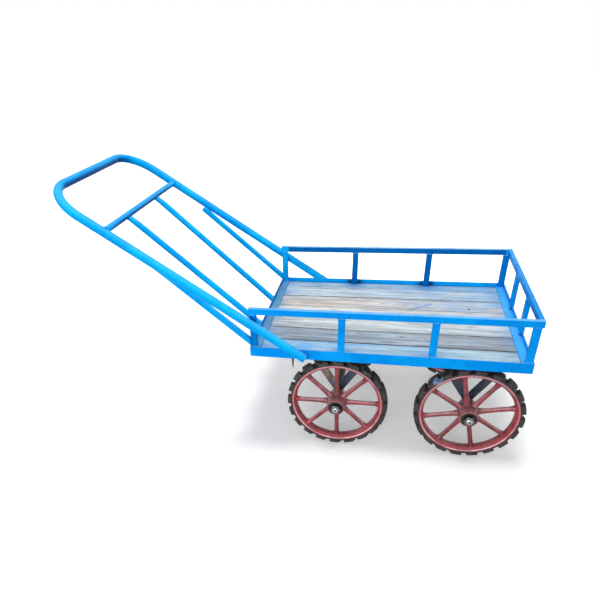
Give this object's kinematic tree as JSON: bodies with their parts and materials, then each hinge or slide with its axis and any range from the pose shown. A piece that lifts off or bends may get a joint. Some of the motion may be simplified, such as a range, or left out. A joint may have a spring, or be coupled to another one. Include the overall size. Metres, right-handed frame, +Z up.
{
  "type": "hand cart",
  "caption": "Four-wheeled hand cart with a plank deck in an angle-iron frame, low tube rails, a sloping U-shaped pipe handle and spoked wheels with lugged tyres.",
  "frame": {"origin": "on the floor, under the middle of the whole cart", "axes": "+X from the handle to the closed end of the deck, +Y from the near side to the far side, +Z up"},
  "size_m": [1.7689, 0.7686, 1.067],
  "materials": {
    "frame_paint": "sprayed gloss paint with runs and overspray",
    "plank_wood": "bare, weathered grey",
    "wheel_paint": "maroon paint over rough casting",
    "tyre_rubber": "dusty black rubber",
    "underframe_paint": "dark primer with blue overspray",
    "axle_steel": "turned, slightly dull",
    "nut_steel": "zinc plated",
    "bearing_seal": "black seal"
  },
  "bodies": {
    "frame": {"axle_closed": "axle_steel", "axle_handle": "axle_steel", "axle_hanger_far_closed": "underframe_paint", "axle_hanger_far_handle": "underframe_paint", "axle_hanger_near_closed": "underframe_paint", "axle_hanger_near_handle": "underframe_paint", "axle_nuts": "nut_steel", "bearer_far": "underframe_paint", "bearer_near": "underframe_paint", "corner_post_far_closed": "frame_paint", "corner_post_far_handle": "frame_paint", "corner_post_near_closed": "frame_paint", "corner_post_near_handle": "frame_paint", "cross_member_1": "underframe_paint", "cross_member_2": "underframe_paint", "end_angle_closed": "frame_paint", "end_angle_handle": "frame_paint", "end_post_1": "frame_paint", "end_post_2": "frame_paint", "end_rail": "frame_paint", "handle_brace_far": "frame_paint", "handle_brace_near": "frame_paint", "handle_cross_bar": "frame_paint", "handle_rod_far": "frame_paint", "handle_rod_near": "frame_paint", "handle_tube": "frame_paint", "hold_strip_closed": "frame_paint", "hold_strip_handle": "frame_paint", "plank_1": "plank_wood", "plank_2": "plank_wood", "plank_3": "plank_wood", "plank_4": "plank_wood", "plank_5": "plank_wood", "plank_6": "plank_wood", "plank_7": "plank_wood", "side_angle_far": "frame_paint", "side_angle_near": "frame_paint", "side_post_far_1": "frame_paint", "side_post_far_2": "frame_paint", "side_post_near_1": "frame_paint", "side_post_near_2": "frame_paint", "side_rail_far": "frame_paint", "side_rail_near": "frame_paint", "tie_stud": "underframe_paint", "wheel_bearings": "bearing_seal"},
    "wheel_near_handle": {"cast_wheel_near_handle": "wheel_paint", "tyre_near_handle": "tyre_rubber"},
    "wheel_near_closed": {"cast_wheel_near_closed": "wheel_paint", "tyre_near_closed": "tyre_rubber"},
    "wheel_far_handle": {"cast_wheel_far_handle": "wheel_paint", "tyre_far_handle": "tyre_rubber"},
    "wheel_far_closed": {"cast_wheel_far_closed": "wheel_paint", "tyre_far_closed": "tyre_rubber"}
  },
  "joints": [
    {"name": "wheel_near_handle_spin", "type": "hinge", "parent": "frame", "child": "wheel_near_handle", "pos_m": [0.18747, -0.293, 0.2], "axis": [0, 1, 0], "continuous": true},
    {"name": "wheel_near_closed_spin", "type": "hinge", "parent": "frame", "child": "wheel_near_closed", "pos_m": [0.68447, -0.293, 0.2], "axis": [0, 1, 0], "continuous": true},
    {"name": "wheel_far_handle_spin", "type": "hinge", "parent": "frame", "child": "wheel_far_handle", "pos_m": [0.18747, 0.293, 0.2], "axis": [0, 1, 0], "continuous": true},
    {"name": "wheel_far_closed_spin", "type": "hinge", "parent": "frame", "child": "wheel_far_closed", "pos_m": [0.68447, 0.293, 0.2], "axis": [0, 1, 0], "continuous": true}
  ]
}
